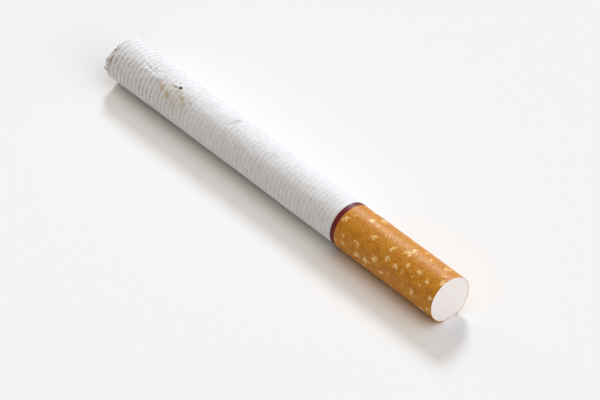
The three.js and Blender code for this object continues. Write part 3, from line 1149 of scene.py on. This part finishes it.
def make_stain():
    """One smudge on a sheet, broken up by grain; its mask is 1 in the middle."""
    group, given, result = new_group(
        "smudge",
        {
            "Place": ("Vector", None),
            "Middle": ("Vector", None),
            "Reach": ("Float", 0.5),
            "Strength": ("Float", 1.0),
        },
        {"Mask": "Float"},
    )
    moved = pushed_about(group, given["Place"], 1.8, 1.6)
    apart = combine(group, "DISTANCE", moved, given["Middle"])
    share = calculate(group, "DIVIDE", apart, given["Reach"])
    spot = fade(group, share, 0.15, 1.0, 1.0, 0.0)
    specks = fade(group, grain(group, given["Place"], 5.0, 3), 0.3, 0.6, 0.35, 1.0)
    mask = multiply(group, spot, specks, given["Strength"])
    group.links.new(mask, result["Mask"])
    return group


def make_fibres():
    """The cloud of fibre in a paper: a value round 0.5 with fine, long grain in it."""
    group, given, result = new_group(
        "paper fibres",
        {"Place": ("Vector", None), "Scale": ("Float", 1.0)},
        {"Value": "Float"},
    )
    place = scaled(group, given["Place"], given["Scale"])
    long = grain(group, stretched(group, place, (1.3, 4.0, 1)), 1.0, 4, 0.65)
    cross = grain(group, stretched(group, place, (4.0, 1.5, 1)), 1.0, 4, 0.65)
    both = calculate(group, "ADD", long, cross)
    group.links.new(multiply(group, both, 0.5), result["Value"])
    return group


laid_lines = make_laid_lines()
smudge = make_stain()
paper_fibres = make_fibres()
print("node groups:", len(bpy.data.node_groups))

# %% Cigarette paper material
PAPER_WHITE = (0.935, 0.94, 0.955, 1)
LINE_TINT = (0.49, 0.475, 0.505, 1)
# Painted shade on the dent's facet.
DENT_SHADE_GREY = (0.81, 0.815, 0.83, 1)
# Painted highlight: white for light on raised or backlit paper.
HIGHLIGHT_WHITE = (0.97, 0.96, 0.94, 1)
WARM_TINT = (0.84, 0.77, 0.72, 1)
EDGE_TINT = (0.68, 0.53, 0.43, 1)
STAIN_TINT = (0.55, 0.415, 0.175, 1)
MARK_TINT = (0.30, 0.17, 0.07, 1)
# The dark brown painted round the puncture.
HOLE_RIM_DARK = (0.16, 0.07, 0.02, 1)

# The leaf-shaped facet of the dent, where the paper is painted grey as shade, in mm. Its
# middle is counted from the cut end and from the top towards the near side.
DENT_SHADE_AT = 29.88
DENT_SHADE_NEAR = 0.05
DENT_SHADE_HALF_LENGTH = 1.95
DENT_SHADE_HALF_WIDTH = 0.44

# Stains, darker marks in them, and painted highlights: white spots that stand for light on the
# raised rim of the puncture, light through the bent flap of the cut edge and light on the
# ridge beside the dent's facet. Each row holds the distance from the cut end in mm, the angle
# in degrees, the reach in mm and the strength.
STAINS = [
    (12.5, 34, 0.7, 0.6),
    (13.6, 42, 0.8, 0.9),
    (15.4, 51, 0.9, 1.0),
    (16.7, 31, 0.7, 0.4),
    (17.4, 61, 0.8, 0.45),
    (18.5, 35, 0.7, 0.9),
    (19.5, 46, 0.7, 0.6),
    (20.5, 31, 0.5, 0.6),
    (15.4, 22, 0.5, 0.6),
    (17.6, 28, 1.0, 0.35),
    (15.5, 44, 3.4, 0.2),
    (18.6, 44, 3.0, 0.2),
]
BROWN_MARKS = [
    (13.7, 43, 0.22, 0.7),
    (15.3, 53, 0.25, 0.9),
    (18.4, 37, 0.2, 0.8),
    (19.3, 48, 0.18, 0.7),
    (12.3, 32, 0.18, 0.4),
    (0.7, 56, 0.4, 0.7),
    (0.75, 63, 0.4, 0.9),
    (0.7, 70, 0.4, 0.8),
    (0.65, 77, 0.35, 0.6),
    (0.5, 92, 0.35, 0.7),
    (3.1, 49, 0.3, 0.25),
]
# Painted highlights.
PAINTED_HIGHLIGHTS = [
    (16.15, 16, 0.4, 0.9),
    (15.6, 18, 0.35, 0.8),
    (16.9, 9, 0.25, 0.5),
    (0.0, 63, 0.5, 0.9),
    (30.9, 12, 0.35, 0.8),
    (30.7, 20, 0.35, 0.8),
    (31.1, 2, 0.3, 0.6),
]
# The white spots are painted highlights; the stains and brown marks are the paper's own.
MARKS = [(STAIN_TINT, STAINS), (MARK_TINT, BROWN_MARKS), (HIGHLIGHT_WHITE, PAINTED_HIGHLIGHTS)]


def dent_shade_leaf(tree, d, near_side):
    """1 inside the leaf-shaped facet of the dent, where shade is painted grey."""
    along = calculate(tree, "SUBTRACT", near_side, DENT_SHADE_NEAR)
    lean = multiply(tree, along, DENT_LEAN)
    across = calculate(tree, "ADD", calculate(tree, "SUBTRACT", d, DENT_SHADE_AT), lean)
    share = calculate(tree, "DIVIDE", along, DENT_SHADE_HALF_LENGTH)
    bow = calculate(tree, "SUBTRACT", 1.0, multiply(tree, share, share))
    half = multiply(tree, bow, DENT_SHADE_HALF_WIDTH)
    inside = calculate(tree, "SUBTRACT", half, calculate(tree, "ABSOLUTE", across))
    return fade(tree, inside, 0.0, 0.12)


def on_sheet(sheet, d, angle):
    """The place on a sheet in millimetres of a point on the rod, as sheet_place counts it."""
    along, across = sheet.flat_place(d, angle)
    return (along + sheet.length / 2) / MM, (across + sheet.width / 2) / MM, 0


def paper_material():
    material, tree, shader = new_material("cigarette paper", 0.75, 0.3)
    place = sheet_place(tree, paper_sheet)
    d, round_place, _ = split(tree, place)
    top = on_sheet(paper_sheet, 0, 0)[1]
    near_side = calculate(tree, "SUBTRACT", top, round_place)
    lines = use_group(tree, laid_lines, {"Place": place, "Half Width": 0.145})["Mask"]
    fibres = use_group(tree, paper_fibres, {"Place": place})["Value"]
    # Painted shade: the dent's facet is painted grey.
    pressed = dent_shade_leaf(tree, d, near_side)
    stronger = fade(tree, d, 6.0, 26.0, 1.0, 0.43)
    # Painted light: the rings fade on the lit top and stay strong on the shaded near side.
    lit_top_ring_fade = fade(tree, near_side, -1.0, 4.0, 0.4, 1.0)
    line_share = multiply(tree, lines, stronger, lit_top_ring_fade)
    colour = blend_colours(tree, line_share, PAPER_WHITE, LINE_TINT)
    colour = blend_colours(tree, pressed, colour, DENT_SHADE_GREY)
    clouds = fade(tree, grain(tree, place, 0.28, 2), 0.5, 0.72)
    at_end = fade(tree, d, 0.0, 12.0, 0.55, 0.22)
    colour = blend_colours(tree, multiply(tree, clouds, at_end), colour, WARM_TINT)
    fibre_tone = fade(tree, fibres, 0.39, 0.61, 0.86, 1.0)
    patches = fade(tree, grain(tree, place, 0.6, 3), 0.35, 0.65, 0.95, 1.0)
    tone = multiply(tree, fibre_tone, patches)
    grey = add_node(tree, "ShaderNodeCombineColor", {0: tone, 1: tone, 2: tone})
    colour = blend_colours(tree, 1.0, colour, grey.outputs[0], "MULTIPLY")
    torn = fade(tree, d, 0.05, 0.95, 0.75, 0.0)
    broken = fade(tree, grain(tree, place, 0.9, 3), 0.4, 0.6)
    seen_side = fade(tree, near_side, -0.5, 2.0)
    tinted = multiply(tree, torn, broken, seen_side)
    colour = blend_colours(tree, tinted, colour, EDGE_TINT)
    for tint, marks in MARKS:
        for mark_d, angle, reach, strength in marks:
            middle = on_sheet(paper_sheet, mark_d, angle)
            inputs = {"Place": place, "Middle": middle, "Reach": reach}
            inputs["Strength"] = strength
            mask = use_group(tree, smudge, inputs)["Mask"]
            colour = blend_colours(tree, mask, colour, tint)
    # A ring round the puncture is painted dark brown, as dark as the hole.
    hole = on_sheet(paper_sheet, HOLE_AT, HOLE_ANGLE)
    from_hole = combine(tree, "DISTANCE", place, hole)
    hole_rim_dark = fade(tree, from_hole, 0.19, 0.34, 0.85, 0.0)
    colour = blend_colours(tree, hole_rim_dark, colour, HOLE_RIM_DARK)
    raised = multiply(tree, fibres, 0.5)
    relief = calculate(tree, "SUBTRACT", raised, multiply(tree, lines, 0.6))
    finish_surface(tree, shader, colour, relief, 0.03 * MM)
    return material


paper_tube.data.materials.append(paper_material())
print("cigarette paper has", len(STAINS), "stains")

# %% [markdown]
# Finish of the tipping paper
#
# The paper that ties the filter to the rod carries a common cork print: a fine orange-brown
# mottle with pale flecks, and a dark red line along its edge, all under a satin varnish.
# The flecks come from a Voronoi pattern. Each cell has at most one, whose outline is broken
# by noise, and chance picks its size.

# %% Tipping paper material
BARE_MARGIN = 0.13
BAND_END = 1.17
BARE_WHITE = (0.9, 0.89, 0.88, 1)
BAND_RED = (0.14, 0.006, 0.005, 1)
CORK_DARK = (0.45, 0.135, 0.004, 1)
CORK_LIGHT = (0.77, 0.34, 0.03, 1)
FLECK_PALE = (0.95, 0.62, 0.25, 1)
FLECK_PITCH = 2.3


def make_cork():
    """The cork print: colour only, on a place in millimetres."""
    group, given, result = new_group(
        "cork print", {"Place": ("Vector", None)}, {"Color": "Color", "Fleck": "Float"}
    )
    place = given["Place"]
    fine = fade(group, grain(group, place, 3.6, 3, 0.7), 0.38, 0.62)
    broad = fade(group, grain(group, place, 0.8, 2), 0.3, 0.7, 0.0, 0.35)
    share = calculate(group, "ADD", multiply(group, fine, 0.68), broad)
    colour = blend_colours(group, share, CORK_DARK, CORK_LIGHT)
    moved = pushed_about(group, place, 1.7, 2.2)
    sockets = {"Vector": moved, "Scale": 1 / FLECK_PITCH, "Randomness": 0.95}
    flat = {"voronoi_dimensions": "2D"}
    cells = add_node(group, "ShaderNodeTexVoronoi", sockets, **flat).outputs
    chance = split(group, cells["Color"])[0]
    size = fade(group, chance, 0.05, 1.0, 0.06, 0.25)
    inside = calculate(group, "SUBTRACT", size, cells["Distance"])
    fleck = fade(group, inside, -0.01, 0.045)
    speckled = fade(group, grain(group, place, 3.5, 3), 0.32, 0.5, 0.5, 1.0)
    mask = multiply(group, fleck, speckled)
    flecked = blend_colours(group, mask, colour, FLECK_PALE)
    group.links.new(flecked, result["Color"])
    group.links.new(mask, result["Fleck"])
    return group


def tipping_material():
    material, tree, shader = new_material("tipping paper", 0.45, 0.2)
    place = sheet_place(tree, tipping_sheet)
    along = split(tree, place)[0]
    printed = use_group(tree, make_cork(), {"Place": place})
    fibres = use_group(tree, paper_fibres, {"Place": place, "Scale": 1.3})["Value"]
    ragged = multiply(tree, grain(tree, place, 3.0, 2), 0.06)
    ink_edge = calculate(tree, "ADD", along, ragged)
    past_margin = fade(tree, ink_edge, BARE_MARGIN, BARE_MARGIN + 0.04)
    past_band = fade(tree, ink_edge, BAND_END, BAND_END + 0.06)
    colour = blend_colours(tree, past_margin, BARE_WHITE, BAND_RED)
    colour = blend_colours(tree, past_band, colour, printed["Color"])
    rough = fade(tree, fibres, 0.3, 0.7, 0.4, 0.52)
    tree.links.new(rough, shader.inputs["Roughness"])
    relief = calculate(tree, "ADD", fibres, multiply(tree, printed["Fleck"], 0.3))
    finish_surface(tree, shader, colour, relief, 0.012 * MM)
    return material


tipping_tube.data.materials.append(tipping_material())
print("tipping paper is printed")

# %% [markdown]
# Finish of the fibre, the plug wrap and the tobacco
#
# The plug's cut face is white with a breath of pink, and fine crimped fibres give it a
# soft, matt grain. Tobacco is cured leaf, golden to dark brown from shred to shred, with
# veins along the ribbon. The tone that each shred was given picks its brown.


# %% Fibre and plug wrap
FIBRE_DARK = (0.84, 0.80, 0.81, 1)
FIBRE_LIGHT = (0.92, 0.895, 0.90, 1)
WRAP_DARK = (0.88, 0.88, 0.88, 1)
WRAP_LIGHT = (0.95, 0.95, 0.95, 1)


def solid_place(tree):
    """The place in space in millimetres, for pieces that aren't sheets."""
    place = add_node(tree, "ShaderNodeTexCoord").outputs["Object"]
    return stretched(tree, place, (1000, 1000, 1000))


def fibre_material():
    material, tree, shader = new_material("filter fibre", 0.8, 0.3)
    place = solid_place(tree)
    crimp = grain(tree, place, 3.0, 4, distortion=1.5)
    strands = grain(tree, stretched(tree, place, (1, 14, 5)), 1.0, 3, 0.65)
    both = calculate(tree, "ADD", crimp, strands)
    tone = fade(tree, both, 0.7, 1.3)
    colour = blend_colours(tree, tone, FIBRE_DARK, FIBRE_LIGHT)
    finish_surface(tree, shader, colour, both, 0.03 * MM)
    return material


def wrap_material():
    material, tree, shader = new_material("plug wrap", 0.7, 0.3)
    place = sheet_place(tree, wrap_sheet)
    fibres = use_group(tree, paper_fibres, {"Place": place})["Value"]
    colour = blend_colours(tree, fibres, WRAP_DARK, WRAP_LIGHT)
    finish_surface(tree, shader, colour, fibres, 0.01 * MM)
    return material


filter_tow.data.materials.append(fibre_material())
plug_wrap.data.materials.append(wrap_material())
print("fibre and plug wrap are finished")

# %% Tobacco
LEAF_DARK = (0.10, 0.045, 0.015, 1)
LEAF_GOLD = (0.52, 0.30, 0.11, 1)


def leaf_material(name, tone_of):
    """Cured leaf. tone_of gives the socket that picks between the dark and the golden."""
    material, tree, shader = new_material(name, 0.65, 0.35)
    place = solid_place(tree)
    veins = grain(tree, stretched(tree, place, (1.2, 7, 7)), 1.0, 3, 0.6)
    tone = tone_of(tree, place)
    mixed = calculate(tree, "ADD", tone, multiply(tree, veins, 0.5))
    share = fade(tree, mixed, 0.2, 1.35)
    colour = blend_colours(tree, share, LEAF_DARK, LEAF_GOLD)
    finish_surface(tree, shader, colour, veins, 0.04 * MM)
    return material


def shred_tone(tree, _):
    node = add_node(tree, "ShaderNodeAttribute", attribute_name="leaf_tone")
    return node.outputs["Fac"]


def bed_tone(tree, place):
    return grain(tree, stretched(tree, place, (0.5, 1.6, 1.6)), 1.0, 3)


loose_shreds.data.materials.append(leaf_material("tobacco shreds", shred_tone))
tobacco_bed.data.materials.append(leaf_material("pressed tobacco", bed_tone))
print("tobacco is finished")

# %% [markdown]
# Attaching the pieces
#
# Every piece rides on the one body and stands for its imported nodes, which are hidden. The
# two boxes are printed, so that the looks can be compared with the imported size.

# %% Ride and replace
shred_nodes = [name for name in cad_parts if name.startswith("tobacco_shred_")]
PIECES = [
    (paper_tube, "cigarette_paper", ["cigarette_paper"]),
    (tipping_tube, "tipping_paper", ["tipping_paper"]),
    (plug_wrap, "plug_wrap", ["plug_wrap"]),
    (filter_tow, "filter_fibre", ["filter_plug"]),
    (tobacco_bed, "tobacco", ["tobacco_filler"]),
    (loose_shreds, "tobacco_shreds", shred_nodes),
]
for piece, slot, nodes in PIECES:
    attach(piece, "root")
    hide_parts(*nodes)
print("triangles in all:", sum(triangles(piece) for piece, _, _ in PIECES))

# %% Sizes
looks_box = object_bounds()
boxes = {
    "cad": [list(corner) for corner in cad_box],
    "looks": [list(corner) for corner in looks_box],
}
for name, corners in boxes.items():
    print(name, [[round(v / MM, 3) for v in corner] for corner in corners])
